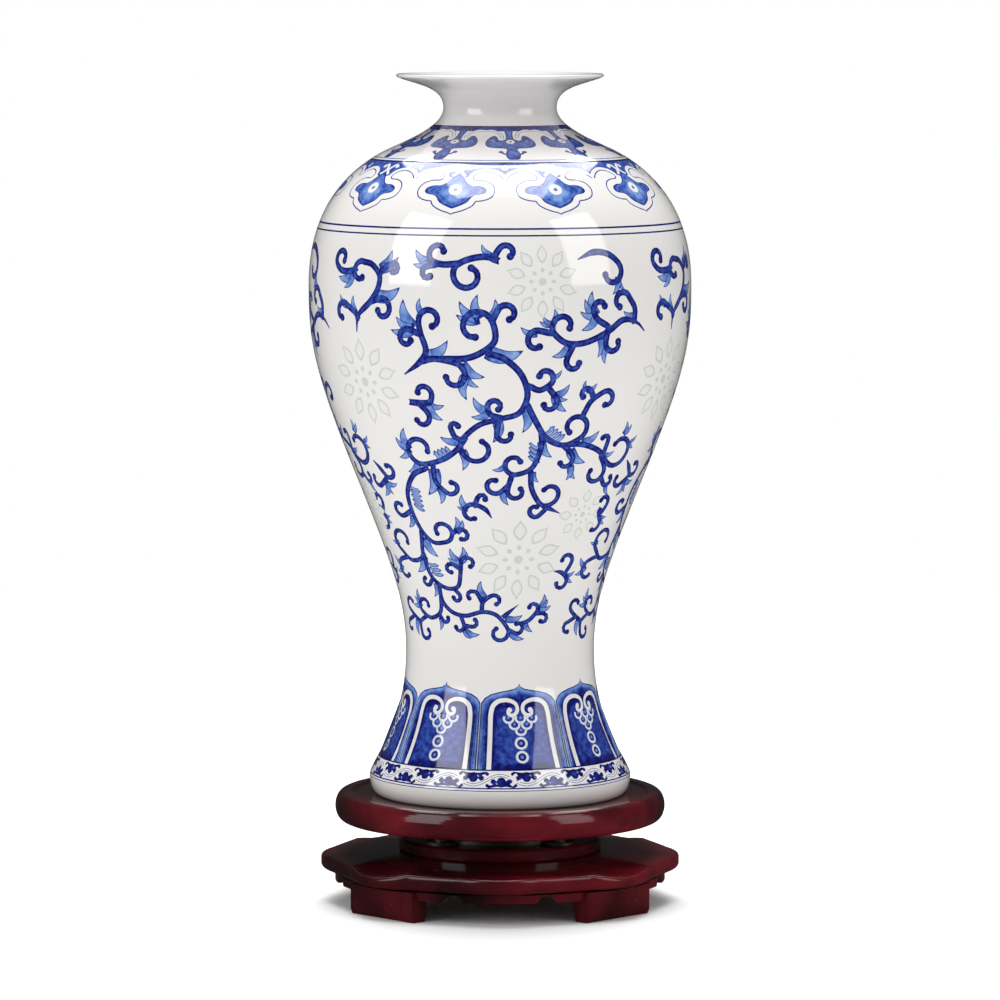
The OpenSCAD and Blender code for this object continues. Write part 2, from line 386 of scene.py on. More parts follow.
def bud(base, tip, lean):
    """A row of short strokes that overlap like tiles. They lean towards the tip on the row's left side."""
    base, radius, way = span(base, tip)
    length = math.hypot(*way)
    ahead = way / length
    left = np.array([-ahead[1], ahead[0]])
    strokes = round(length / STROKE_PITCH)
    turn = np.linspace(-1.4, 1.3, 9)
    across = BUD_HALF * np.sin(turn)
    shapes = []
    for k in reversed(range(strokes)):
        along = length * (k + 0.4) / strokes + 1.5 * np.cos(turn) + lean * across
        path = base + (np.outer(along, ahead) + np.outer(across, left)) / (radius, 1)
        shapes.append(ribbon(path, np.linspace(0.6, 1.25, len(path)), DEEP, MID))
        shapes.append(ribbon(path[1:-1], np.linspace(0.3, 0.85, len(path) - 2), SOFT, PALE))
    return shapes


# Half a petal and a grain of the flowers. A petal's angles are shares of its pitch, a grain's are degrees,
# and the distances from the flower's middle are shares of its radius
PETAL = [(0, 1.0), (0.08, 0.91), (0.22, 0.83), (0.33, 0.73), (0.31, 0.62), (0.18, 0.52), (0, 0.47)]
GRAIN = [(0, 0.38), (12, 0.31), (0, 0.22), (-12, 0.31)]
GRAINS = 8


def flower(phi, z, reach, petals):
    """A flower of glaze-filled cuts: outlined pointed petals, and grains round its middle."""
    shapes = []
    centre = to_skin([(phi, z)])[0]
    radius = float(OUTSIDE.radius(centre[1]))

    def at(angle, share):
        out = reach * share
        return (centre[0] + out * math.cos(angle * DEG) / radius, centre[1] + out * math.sin(angle * DEG))

    pitch = 360 / petals
    for k in range(petals):
        angle = 90 + 360 * k / petals
        half = [at(angle + pitch * a, share) for a, share in PETAL]
        other = [at(angle - pitch * a, share) for a, share in PETAL[-2:0:-1]]
        outline = np.array(half + other)
        middle = outline.mean(0)
        shapes.append(Shape(outline, WHITE, WHITE, [middle], rice=1.0))
        shapes.append(Shape(middle + (outline - middle) * 0.72, WHITE, WHITE, [middle], rice=0.12))
    for k in range(GRAINS):
        angle = 90 + 360 / GRAINS * k
        grain = [at(angle + a, share) for a, share in GRAIN]
        shapes.append(Shape(grain, WHITE, WHITE, [np.mean(grain, 0)], rice=1.0))
    shapes.append(disc(phi, z, reach * 0.11, WHITE, WHITE, rice=1.0, steps=8))
    return shapes


def girdle(low, high, edge, middle):
    """A band right round the vase between two heights, from seam to seam."""
    bottom, top = (np.full(len(COLUMN_ANGLES), OUTSIDE.at_height(z)) for z in (low, high))
    lower = np.stack([COLUMN_ANGLES, bottom], -1)
    upper = np.stack([COLUMN_ANGLES[::-1], top], -1)
    return Shape(np.concatenate([lower, upper]), edge, middle)


def mirrored(points, phi):
    """A right half outline, from top to bottom, with its mirror image about an azimuth."""
    right = [(phi + a, z) for a, z in points]
    left = [(phi - a, z) for a, z in reversed(points) if a > 0]
    return right + left


def stroke(points, phi, side, spacing):
    """A smooth line on the skin through points that are given from an azimuth out to one side of it."""
    return smooth(to_skin([(phi + side * a, z) for a, z in points]), spacing)


def rounded(points, phi, spacing):
    """The same as mirrored, on the skin, with the half outline drawn as a smooth curve."""
    half = smooth(to_skin(points), spacing)
    half[0, 0] = half[-1, 0] = 0
    left = half[-2:0:-1] * (-1, 1)
    return np.concatenate([half, left]) + (phi * DEG, 0)


# ---- Foot band: a waved white ribbon, with leaf clusters in its hollows ----

WAVES = 15
WAVE_Z = 13.7
WAVE_RISE = 2.1
BAND_LOW_Z = 10.6
BAND_HIGH_Z = 17.1
CLUSTER = [
    (0, 4.3), (1.2, 4.0), (2.2, 2.7), (3.2, 3.6), (4.6, 3.2), (4.7, 1.9), (3.7, 1.5), (5, 0.9), (6.3, 1.6),
    (7.1, 0.7), (5.6, -0.2), (2, 0.3), (0, 0)
]
CLUSTER_CURL = [(4.3, 1.0), (5.7, 1.9), (6.0, 3.2), (5.0, 4.2), (3.4, 4.2), (3.0, 3.4)]
CLUSTER_GLINT = [(-1.6, 1.2), (-2.4, 2.0)]


def leaf_cluster(phi, root, up):
    """A bushy navy cluster that grows up from the band's lower edge, or hangs down from the upper one."""
    parts = (CLUSTER, CLUSTER_CURL, CLUSTER_GLINT)
    outline, curl, glint = ([(a, root + up * b) for a, b in part] for part in parts)
    path = stroke(curl, phi, up, 0.7)
    return [
        Shape(rounded(outline, phi, 0.6), NAVY, DEEP),
        ribbon(path, np.linspace(0.75, 0.35, len(path)), WHITE, WHITE),
        ribbon(stroke(glint, phi, up, 0.6), 0.35, SOFT, PALE),
    ]


def foot_band():
    """Two thin lines, the waved ribbon, and a cluster over each trough and under each crest."""
    shapes = [girdle(8.75, 9.1, DEEP, DEEP), girdle(9.8, 10.4, DEEP, DEEP)]
    pitch = 360 / WAVES
    shares = np.linspace(-0.5, 0.5, 9)
    for k in range(WAVES):
        middle = pitch * k
        wave = [(middle + pitch * a, WAVE_Z + WAVE_RISE * math.cos(2 * math.pi * a)) for a in shares]
        path = smooth(to_skin(wave), 1.2)
        shapes.append(ribbon(path, 0.68, MID, MID))
        shapes.append(ribbon(path, 0.4, WHITE, WHITE))
        shapes += leaf_cluster(middle + 0.6, BAND_LOW_Z, 1)
        shapes += leaf_cluster(middle + pitch / 2, BAND_HIGH_Z, -1)
    return shapes


# ---- Lappets: eight upright panels with curled arches, scales and rings ----

LAPPETS = 8
LAPPET_AT = 11.4
LAPPET_BASE_Z = 18.2
LAPPET_HALF = 180 / LAPPETS - 0.2
LAPPET_TIP_Z = 55.8
LAPPET_SIDE = [
    (0.6, 54.5), (2.8, 53.4), (7, 52.7), (12, 52), (17, 50.9), (20.3, 49.3), (LAPPET_HALF, 47),
    (LAPPET_HALF, LAPPET_BASE_Z)
]
# Washes of the border, from the edge inwards: how far in they begin, and their pigment
LAPPET_WASHES = [(0, DEEP, DEEP), (0.45, 0.36, SOFT), (1.2, SOFT, MID), (2.1, MID, DEEP), (3, DEEP, NAVY)]
DEGREES_PER_MM = 1.15
LAPPET_GROUND = [
    (0, 45), (6, 46), (11, 45), (14, 42), (14.6, 38), (14.8, LAPPET_BASE_Z + 1), (0, LAPPET_BASE_Z + 1)
]
LAPPET_ARCH = [
    (16.7, LAPPET_BASE_Z), (16.7, 30), (16.7, 40), (16.4, 43), (15.4, 45.8), (12.5, 47.8), (8.5, 48.4),
    (5, 47.9), (2.5, 46.7), (1.5, 44.9), (1.8, 43.2), (3.1, 41.9), (5, 41.5), (6.6, 42.3), (6.6, 43.8)
]
SCALE_ROWS = [(40.2, (-6.6, 0, 6.6)), (37.4, (-3.4, 3.4)), (34.8, (0,))]
SCALE_TURNS = np.linspace(math.pi - 0.55, 2 * math.pi + 0.55, 9)
RING_HEIGHTS = (29.3, 23.4)


def lappet_wash(phi, inset, edge, middle):
    """The lappet's own outline, drawn in by an inset in millimetres. The pointed tip is lost from 1 mm in."""
    side = [
        (a - inset * DEGREES_PER_MM, z - inset if z > LAPPET_BASE_Z else z)
        for a, z in LAPPET_SIDE if a > 2 * inset + 0.1
    ]
    crest = (0, LAPPET_TIP_Z - inset * 2.2 if inset < 1 else LAPPET_TIP_Z - 2 - inset)
    return Shape(to_skin(mirrored([crest, *side], phi)), edge, middle)


def lappet(phi):
    """One panel: washes, ground, a curled arch of two halves, a fan of scales and two rings."""
    shapes = [lappet_wash(phi, *wash) for wash in LAPPET_WASHES]
    shapes.append(Shape(to_skin(mirrored(LAPPET_GROUND, phi)), NAVY, DEEP - 0.1))
    for side in (-1, 1):
        path = stroke(LAPPET_ARCH, phi, side, 1.0)
        half = np.interp(np.linspace(0, 1, len(path)), [0, 0.6, 0.8, 1], [1.1, 1.05, 0.8, 0.85])
        shapes.append(ribbon(path, half, WHITE, WHITE))
        shapes.append(disc(phi + side * 6.0, 43.9, 1.15, WHITE, WHITE))
    for row, across in SCALE_ROWS:
        for a in across:
            bowl = [(phi + a + 2.7 * math.cos(t), row + 1.9 * math.sin(t)) for t in SCALE_TURNS]
            shapes.append(ribbon(smooth(to_skin(bowl), 0.8), 0.55, PALE / 2, WHITE))
            shapes.append(disc(phi + a, row + 0.3, 0.8, MID, PALE, steps=10))
    for z in RING_HEIGHTS:
        shapes.append(disc(phi - 0.4, z, 3.05, PALE / 2, WHITE, steps=22))
        shapes.append(disc(phi - 0.4, z, 1.9, NAVY, DEEP, steps=16))
        shapes.append(disc(phi - 0.4, z, 1.0, MID, PALE, steps=10))
    return shapes


def lappet_zone():
    """All lappets, on a dark line."""
    shapes = [girdle(17.6, 18.3, NAVY, NAVY)]
    for k in range(LAPPETS):
        shapes += lappet(LAPPET_AT + 360 / LAPPETS * k)
    return shapes


# ---- Collar: ten cloud heads under a blue band, and ten small pendants above it ----

HEADS = 10
HEAD_HALF = 180 / HEADS
HEAD_AT = 20
PENDANT_AT = 6.5
CLOUD_BAND = [
    (0, 291.4), (HEAD_HALF, 291.4), (HEAD_HALF, 286.2), (17, 286.9), (15.3, 287.8), (11.5, 288.6), (8, 288.3),
    (5.6, 287.2), (4.4, 285.8), (3, 285.2), (0, 285.2)
]
HEART_Z = 279.4
HEART = [
    (0, 286.8), (2, 285.6), (3.6, 283.4), (5.6, 281.9), (8.6, 281.7), (10.8, 280.8), (11.4, HEART_Z),
    (10.4, 278.2), (7.6, 277.6), (6.2, 276.6), (4.9, 274.6), (2.5, 273), (0, 271.8)
]
CLOUD_EDGE = [
    (18.2, 285), (16.6, 286.6), (14.4, 287.8), (11, 288.5), (7.4, 287.9), (5.2, 286.4), (4.9, 284.6),
    (6.6, 283.3), (9.6, 283.1), (12.2, 282), (13.3, 279.8), (12.4, 277.4), (9.8, 276.2), (7.4, 275.8),
    (6.2, 273.8), (3.4, 272), (0, 270.7)
]
CLOUD_SCROLL = [(2.6, 285.9), (1.4, 286.8), (0.6, 288), (1.9, 289.6), (3.6, 290.1)]


def cloud_head(phi):
    """One head: a piece of the band, a heart in a white and a blue line, two scrolls, an eye and a pearl."""
    core = [(a * 0.8, HEART_Z + (z - HEART_Z) * 0.78) for a, z in HEART]
    shapes = [
        Shape(to_skin(mirrored(CLOUD_BAND, phi)), DEEP, MID),
        Shape(rounded(HEART, phi, 1), DEEP, SOFT),
        Shape(rounded(core, phi, 1), MID, PALE + 0.08),
    ]
    for side in (-1, 1):
        path = stroke(CLOUD_EDGE, phi, side, 1.0)
        shapes.append(ribbon(path, 0.95, WHITE, WHITE))
        line = path + side * sideways(path) * 1.15
        line[-1] = to_skin([(phi, 269.4)])[0]
        shapes.append(ribbon(line, 0.3, DEEP - 0.1, DEEP - 0.1))
        shapes.append(ribbon(stroke(CLOUD_SCROLL, phi, side, 0.8), 0.7, WHITE, WHITE))
        shapes.append(disc(phi + side * 4.1, 289.3, 1.1, WHITE, WHITE, steps=10))
    shapes.append(disc(phi, 280, 3.0, WHITE, WHITE, steps=20))
    shapes.append(disc(phi, 280, 0.95, MID, SOFT, steps=10))
    shapes.append(disc(phi + HEAD_HALF, 289.3, 2.6, NAVY, NAVY, steps=14))
    shapes.append(disc(phi + HEAD_HALF, 289.3, 1.7, WHITE, WHITE, steps=14))
    shapes.append(disc(phi + HEAD_HALF, 289.3, 0.55, SOFT, SOFT, steps=8))
    return shapes


def collar_zone():
    shapes = [girdle(259.8, 260.5, NAVY, NAVY), girdle(262.7, 263.5, NAVY, NAVY)]
    for k in range(HEADS):
        shapes += cloud_head(HEAD_AT + 360 / HEADS * k)
    shapes.append(girdle(291.1, 291.8, NAVY, NAVY))
    return shapes


PENDANT_HANGER = [(4.6, 306), (3.2, 304.6), (2.4, 303), (2.7, 301.5), (0, 301)]
PENDANT_WINGS = [
    (0, 302), (2.8, 301.4), (5, 300.9), (7.2, 301), (8.3, 302.2), (10, 302.8), (12, 302.6), (14.4, 301.5),
    (15.5, 300.1), (14.6, 298.7), (12, 297.9), (7.5, 297.6), (3.6, 297.4), (2.6, 296.9), (0, 296.5)
]
PENDANT_TASSEL = [(0, 297.6), (2.5, 297), (3.7, 295.2), (3.2, 293.8), (2.2, 292.9), (0, 292.8)]
PENDANT_HOOK = [(2.4, 295.3), (4.2, 295.2), (5.9, 296)]
PENDANT_STREAK = [(9.6, 300.1), (11.6, 301)]
NECK_SCALLOP = [(18.2, 304.9), (13.5, 305.1), (9.5, 304.6), (6.4, 303.6), (5, 302.4), (5.8, 301.8)]


def pendant(phi):
    """One pendant: hanger, wings and tassel, with hooks at its sides and scallops above."""
    shapes = [
        Shape(to_skin(mirrored(PENDANT_HANGER, phi)), NAVY, MID),
        Shape(rounded(PENDANT_WINGS, phi, 0.8), NAVY, MID),
        Shape(rounded(PENDANT_TASSEL, phi, 0.8), NAVY, MID),
    ]
    for side in (-1, 1):
        shapes.append(ribbon(stroke(PENDANT_HOOK, phi, side, 0.8), 0.65, DEEP, DEEP))
        shapes.append(disc(phi + side * 6.0, 296, 1.15, NAVY, DEEP, steps=10))
        shapes.append(ribbon(stroke(PENDANT_STREAK, phi, side, 0.8), 0.3, SOFT, PALE))
        path = stroke(NECK_SCALLOP, phi, side, 0.8)
        shapes.append(ribbon(path, 0.8, MID, MID))
        shapes.append(ribbon(path, 0.52, WHITE, WHITE))
    shapes.append(disc(phi, 300.3, 1.9, WHITE, WHITE, steps=16))
    shapes.append(disc(phi, 300.3, 0.7, MID, SOFT, steps=8))
    return shapes


def neck_zone():
    shapes = [girdle(292.4, 292.7, MID, MID), girdle(304.8, 306.9, NAVY, DEEP)]
    for k in range(HEADS):
        shapes += pendant(PENDANT_AT + 360 / HEADS * k)
    shapes.append(girdle(306.4, 307.1, NAVY, NAVY))
    return shapes


# ---- Scroll: vines with curls, fans of leaves and flowers ----

# Each vine: the points it passes through, the eye that its tip curls round, and the turn of that curl
UPPER_VINES = [
    ([(-47.5, 216), (-46.5, 223.5), (-41.5, 230), (-38.5, 236), (-38, 242), (-41, 246.5), (-44, 247.5)],
     (-45.5, 243), 230),
    ([(-47.5, 244), (-51.5, 243), (-55, 243.5), (-57.5, 246.5)], (-55, 248.5), -230),
    ([(-38, 242.5), (-36, 245.5), (-33, 247.5)], (-33, 245), -200),
    ([(-41.5, 230), (-38, 231.5)], (-37, 227), -270),
    ([(-46.5, 222.5), (-48, 225), (-51, 227.5)], (-53.5, 224.5), 210),
    ([(-30.5, 198), (-25, 203.5), (-22.5, 209), (-24, 217), (-24.5, 222)], (-21, 222.5), -250),
    ([(-24.5, 216.5), (-28, 218.5)], (-28.5, 214.5), 250),
    ([(-24.5, 204), (-20, 205.5), (-14, 204)], (-14.5, 198), -250),
    ([(-17, 205.5), (-10, 206), (-5, 209), (-1.5, 214), (-2, 221.5)], (-7, 219.5), 250),
    ([(-2.5, 222), (-1, 226.5)], (2, 225.5), -230),
    ([(0, 249), (-4, 251), (-9, 250), (-13, 247)], (-9.5, 243), 280),
    ([(-2, 250), (-0.5, 254)], (2, 252.5), -200),
    ([(-12, 248), (-17, 247.5), (-20.5, 249)], (-18.5, 252.5), -210),
    ([(-19, 247.5), (-22, 246.5)], (-21.5, 243.5), 200),
    ([(-30.5, 185.5), (-23.5, 185.5)], (-25, 189.5), 230),
    ([(-27, 185), (-24.5, 181.5)], (-27, 178.5), -190),
]

RIGHT_VINES = [
    ([(48, 216.5), (44.5, 220.5), (39, 222), (33.5, 217), (26, 212.5), (20, 212.5), (16, 217)],
     (19, 220), -230),
    ([(15, 217), (12.5, 218)], (11, 213.5), 230),
    ([(22, 211), (20.5, 206)], (23, 204), 190),
    ([(33.5, 217.5), (33, 212)], (36, 212), 190),
    ([(33.5, 219.5), (30, 222.5), (28.5, 226)], (31, 227.5), -170),
    ([(43.5, 221.5), (43.5, 227), (41.5, 231.5)], (38.5, 230), 220),
    ([(23.5, 249.5), (29, 252.5), (34, 251.5), (37.5, 247.5)], (34.5, 243.5), -200),
]

MAIN_VINES = [
    ([(-3, 208), (1, 206), (5.5, 200.5), (8, 194), (8.5, 187.5), (6, 181), (0, 178.5), (-6.5, 176),
      (-11.5, 171)], (-8, 165), 290),
    ([(-12, 169.5), (-15.5, 164), (-21, 159.5), (-28.5, 157)], (-29.5, 163.5), -290),
    ([(9, 193.5), (12.5, 191.5), (16, 194.5)], (13.5, 197), 190),
    ([(15.5, 192), (18, 187.5)], (15.5, 185.5), -190),
    ([(8.5, 185.5), (11.5, 178), (16, 169.5), (22.5, 166), (28, 168.5)], (26, 174), 290),
    ([(28.5, 180.5), (30.5, 186), (35, 190)], (36, 186), -200),
    ([(31, 187.5), (29.5, 191)], (28, 189), 180),
    ([(22.5, 166), (30, 166), (38, 162.5), (43, 157)], (47.5, 162.5), 270),
    ([(40.5, 162), (41, 166.5)], (39, 167.5), 150),
    ([(14, 173), (14.5, 165), (12, 156), (7, 153)], (5.5, 157.5), -260),
    ([(23, 165.5), (26, 162.5)], (24, 159), -200),
    ([(-13, 168.5), (-15.5, 170), (-16.5, 173)], (-15, 174.5), -190),
    ([(0.5, 179), (-3, 180.5), (-4, 183.5)], (-1.5, 184), -230),
    ([(-0.5, 178), (-1, 173)], (2, 171.5), 200),
]

LOWER_VINES = [
    ([(-28.5, 155), (-35, 151.5), (-40, 143.5), (-40.5, 135), (-38, 126), (-33, 120.5), (-27, 120.5)],
     (-27, 125.5), 290),
    ([(-22.5, 124.5), (-19.5, 126.5)], (-17.5, 124), -230),
    ([(-38, 126), (-40, 118), (-42, 112.5), (-50, 111), (-55.5, 115)], (-52.5, 120), -260),
    ([(-53.5, 112), (-58.5, 111)], (-57.5, 106), 200),
    ([(-40, 114.5), (-40, 108), (-37, 102.5), (-30, 99), (-23, 100), (-20.5, 107), (-19.5, 112)],
     (-16, 111), -220),
    ([(-21, 108.5), (-24.5, 110.5)], (-25.5, 108), 190),
    ([(-25.5, 99), (-22.5, 96)], (-25, 95), -190),
    ([(-38, 103), (-41, 100)], (-42.5, 102), -180),
    ([(-41, 134.5), (-46, 132)], (-47, 135.5), -230),
    ([(-34.5, 100.5), (-34, 93), (-28.5, 88), (-20, 86.5), (-10, 88.5), (-2, 87), (4, 81.5)],
     (-0.5, 79), -270),
    ([(-10.5, 88.5), (-9.5, 93), (-5, 96)], (-3, 93.5), -180),
    ([(-10, 93), (-12, 96.5)], (-15.5, 95.5), 190),
    ([(-23, 86), (-21.5, 82)], (-25, 81.5), -170),
    ([(-21.5, 82), (-17, 81.5)], (-16, 84), 140),
    ([(-34.5, 95.5), (-36.5, 87.5), (-44, 84.5), (-50.5, 87)], (-47.5, 90), -230),
    ([(-48, 85), (-54, 82), (-54, 77.5)], (-49.5, 77.5), 220),
    ([(-54, 82), (-59.5, 84.5), (-64, 87)], (-61.5, 90), -200),
    ([(-60, 84.5), (-66, 82.5)], (-66, 79.5), 190),
    ([(-37, 86), (-35, 83.5)], (-33, 85), 140),
    ([(-55, 157), (-52, 153.5), (-49.5, 150)], (-47.5, 153), 230),
    ([(-50.5, 148.5), (-54, 146)], (-56.5, 148.5), -160),
    ([(-3.5, 132.5), (-6, 136.5), (-9.5, 138.5)], (-11.5, 134.5), 220),
    ([(-10.5, 138), (-9, 142)], (-7, 141.5), -180),
    ([(-25.5, 156), (-25.5, 149), (-21.5, 144)], (-19.5, 147), 200),
    ([(4.5, 152.5), (3, 146)], (6.5, 145), 230),
    ([(3, 147.5), (0, 144.5)], (-2, 148), -220),
    ([(11.5, 154), (12.5, 146), (16.5, 139)], (19.5, 143.5), 260),
    ([(19, 136), (16, 133)], (15, 136), -210),
    ([(39.5, 160), (42.5, 155)], (38.5, 152.5), -230),
    ([(42.5, 150), (45, 146.5)], (46.5, 149), 160),
    ([(28.5, 107), (33, 106.3), (36.5, 104)], (33.5, 101.5), -210),
    ([(36, 106), (38, 109.5)], (34.5, 111.5), 200),
    ([(-63.5, 135), (-61.5, 131)], (-64, 127.5), -150),
    ([(-60.5, 133.5), (-59, 136.5)], (-62, 138), 170),
    ([(5.5, 80), (9.5, 78.5)], (10, 81.5), 200),
    ([(12, 83), (17, 84.5), (21.5, 88.5)], (18.5, 90), 190),
    ([(20, 87.5), (25.5, 87.5)], (25, 85), -200),
]

# Ribbed buds: start, tip and lean. Stems that run out to a point: start and tip
BUDS = [
    ((-24.5, 160), (-18.5, 163), 0),
    ((-36, 147), (-36, 136), 0.5),
    ((-37, 111.5), (-34, 105), 0.5),
    ((15.5, 174), (21, 169), 0.2),
    ((12.3, 167.5), (12.3, 159.5), 0.5),
]
SPIKES = [
    ((1.5, 86), (10.5, 92)),
    ((18, 138), (26.5, 134)),
]

# Each fan: where its leaves spring from, and their tips
FANS = [
    ((-38, 245), [(-34, 253.5), (-31.5, 250.5)]),
    ((-49, 242), [(-56, 240.5), (-53, 235.5)]),
    ((-39.5, 233), [(-30.5, 237)]),
    ((-47.5, 224.5), [(-48.5, 232.5)]),
    ((-51.5, 227.5), [(-55, 232.5)]),
    ((-26, 219), [(-29.5, 232), (-34, 218), (-32, 224)]),
    ((-23.5, 225.5), [(-24, 232.5)]),
    ((-23, 206.5), [(-15.5, 214)]),
    ((-11.5, 203.5), [(-4.5, 197.5)]),
    ((-10.5, 198), [(-6.5, 193), (-10.5, 187)]),
    ((-6, 223.5), [(-13, 225.5), (-12, 231.5), (-6.5, 234.5)]),
    ((-3, 223.5), [(-1.5, 232.5)]),
    ((-4, 209), [(7, 209.5)]),
    ((-2.5, 251.5), [(-5.5, 256.5)]),
    ((-21, 248.5), [(-26, 254), (-26.5, 247.5)]),
    ((-24, 185), [(-18, 184.5), (-19, 177.5)]),
    ((-34, 163.5), [(-34.5, 173.5), (-39, 169), (-39.5, 159.5)]),
    ((-31.5, 157.5), [(-37, 153)]),
    ((-13.5, 168.5), [(-21, 170)]),
    ((-13.5, 164), [(-14, 154.5)]),
    ((-1, 178), [(-2.5, 167.5)]),
    ((-3.5, 181.5), [(-8.5, 188.5), (-9.5, 179.5)]),
    ((16, 197), [(19, 200.5)]),
    ((17.5, 189), [(22, 194), (22, 187), (22, 181.5)]),
    ((28, 190.5), [(27.5, 195.5), (31.5, 194)]),
    ((29.5, 167), [(36, 172)]),
    ((48, 169.5), [(48, 175.5), (51, 174)]),
    ((53, 165.5), [(56, 168.5), (56, 162.5)]),
    ((40.5, 160.5), [(45.5, 162)]),
    ((14.5, 168), [(19, 160.5)]),
    ((25.5, 164), [(33, 157.5)]),
    ((27, 156.5), [(30, 150), (26, 149.5)]),
    ((8.5, 182.5), [(7.5, 172)]),
    ((11, 217), [(6, 220)]),
    ((15.5, 221), [(16, 228), (11.5, 222.5), (12.5, 225)]),
    ((21, 211.5), [(15.5, 206.5)]),
    ((31, 214.5), [(30.5, 205.5)]),
    ((33.5, 210), [(33.5, 202.5)]),
    ((29.5, 224.5), [(28, 235.5), (25.5, 232), (24, 226.5), (24.5, 218)]),
    ((43.5, 224), [(39, 226)]),
    ((37, 241.5), [(39.5, 235.5), (35, 233.5)]),
    ((-20, 125.5), [(-19.5, 133), (-16.5, 131.5)]),
    ((-56, 119), [(-62, 119.5)]),
    ((-60.5, 108), [(-66, 112.5), (-67.5, 104.5)]),
    ((-40.5, 113.5), [(-47.5, 105.5)]),
    ((-20, 111.5), [(-24.5, 118), (-26.5, 113.5), (-18, 119), (-16, 116.5)]),
    ((-36.5, 101), [(-39, 94.5)]),
    ((-41, 132.5), [(-45, 126.5)]),
    ((-37, 122.5), [(-31.5, 113.5)]),
    ((-8.5, 95), [(-10, 103)]),
    ((-21.5, 80), [(-12, 78), (-17, 76)]),
    ((-50.5, 91), [(-52, 97.5), (-56, 94), (-59, 90)]),
    ((-57, 83), [(-60.5, 78.5), (-57, 75.5)]),
    ((-37, 85), [(-38, 79)]),
    ((-50.5, 147), [(-54.5, 140.5), (-48.5, 141.5), (-44.5, 147)]),
    ((-13.5, 136.5), [(-15.5, 143.5), (-18, 138)]),
    ((-25.5, 155), [(-30, 142.5)]),
    ((-24.5, 146.5), [(-25, 138.5)]),
    ((1.5, 145.5), [(3.5, 138.5)]),
    ((2, 157), [(-3, 155)]),
    ((12.5, 154), [(15, 149)]),
    ((46.5, 146.5), [(49.5, 141.5)]),
    ((37, 104.5), [(42, 106.5), (42, 101)]),
    ((-61, 131.5), [(-56.5, 131), (-56.5, 127.5)]),
    ((3, 85.5), [(13, 87)]),
    ((22.5, 89.5), [(25, 96.5), (27.5, 94), (30, 91)]),
    ((14.5, 84), [(19.5, 79)]),
    ((6, 79), [(14.5, 76)]),
]

# Each flower: azimuth and height of its middle, its radius, and the number of its petals
FLOWERS = [
    (-47, 193.5, 20.5, 10),
    (12.5, 240, 17, 10),
    (9, 113, 20, 10),
    (38, 133, 13, 8),
]

# The sheet of scrolls covers 110 degrees and is laid three times. A stem climbs the gap that is left
SHEET = 110
SHEET_TURNS = (0, -SHEET, SHEET)
BACK_STEM = [
    (158, 78), (166, 98), (170, 122), (178, 144), (184, 166), (177, 188), (174, 210), (172, 232), (166, 248)
]


def moved(points, phi):
    """The points, further round by an azimuth in degrees."""
    return [(a + phi, b) for a, b in points]


def beside(point, across, up):
    """The place so many millimetres to the right of a point and above it."""
    radius = float(OUTSIDE.radius(to_skin([point])[0][1]))
    return (point[0] + across / radius / DEG, point[1] + up)


def back_stem():
    """A climbing stem with a curl and a fan of leaves at each bend, on alternate sides."""
    leaves = []
    stems = vine(vine_path(BACK_STEM), free=True)
    for k, bend in enumerate(BACK_STEM[1:-1]):
        side = 1 if k % 2 else -1
        curl = [bend, beside(bend, side * 5, 4), beside(bend, side * 11, 6)]
        stems += vine(vine_path(curl, beside(bend, side * 11, 0.5), -side * 250))
        hook = [beside(bend, 0, 1), beside(bend, -side * 4, 5), beside(bend, -side * 7, 6)]
        stems += vine(vine_path(hook, beside(bend, -side * 7, 2), side * 210))
        for across, up in ((12, 14), (17, 9), (6, 14)):
            leaves += leaf(beside(bend, side * 8, 5), beside(bend, side * across, up), -LEAF_BOW * side)
        leaves += leaf(bend, beside(bend, -side * 8, -4), LEAF_BOW * side)
    return leaves + stems


def sheet_leaves(turn):
    """The leaves, buds and spikes of one sheet, laid round by a turn in degrees."""
    shapes = []
    for base, tips in FANS:
        for tip in tips:
            bow = LEAF_BOW if tip[0] < base[0] else -LEAF_BOW
            shapes += leaf(*moved([base, tip], turn), bow)
    for base, tip, lean in BUDS:
        shapes += bud(*moved([base, tip], turn), lean)
    for tips in SPIKES:
        shapes += vine(vine_path(moved(tips, turn)), bulb=False)
    return shapes


def sheet_stems(stems, turn):
    """The stems and flowers of one sheet, laid round by a turn in degrees."""
    shapes = []
    for path, free in stems:
        shapes += vine(path + (turn * DEG, 0), free=free)
    for phi, z, reach, petals in FLOWERS:
        shapes += flower(phi + turn, z, reach, petals)
    return shapes


def scroll_zone():
    """All leaves first, so that the stems lie on top of them."""
    lines = [vine_path(*drawn) for drawn in LOWER_VINES + UPPER_VINES + RIGHT_VINES + MAIN_VINES]
    stems = [rooted(line, lines[:k] + lines[k + 1:]) for k, line in enumerate(lines)]
    shapes = []
    for turn in SHEET_TURNS:
        shapes += sheet_leaves(turn)
    for turn in SHEET_TURNS:
        shapes += sheet_stems(stems, turn)
    return shapes + back_stem()


# ---- Skins: turned surfaces as triangles, some of them cut along the painted outlines ----

# Heights of the borders of the painted zones: foot band, lappets, scroll, collar and neck. No outline may lie
# on a border or cross it, or the zones would not meet point to point
ZONE_BORDERS = (8.6, 17.35, 57.6, 259, 292.2, 307.6)
# Millimetres from a drawn point to the nearest point of the grid between the shapes
GRID_CLEARANCE = 1.3


def winds_round(points, ring):
    """Which points a closed outline winds round."""
    x, y = points[:, 0, None], points[:, 1, None]
    x0, y0 = ring.T
    x1, y1 = np.roll(ring, -1, axis=0).T
    side = (x1 - x0) * (y - y0) - (x - x0) * (y1 - y0)
    up = (y0 <= y) & (y1 > y) & (side > 0)
    down = (y0 > y) & (y1 <= y) & (side < 0)
    return up.sum(1) != down.sum(1)


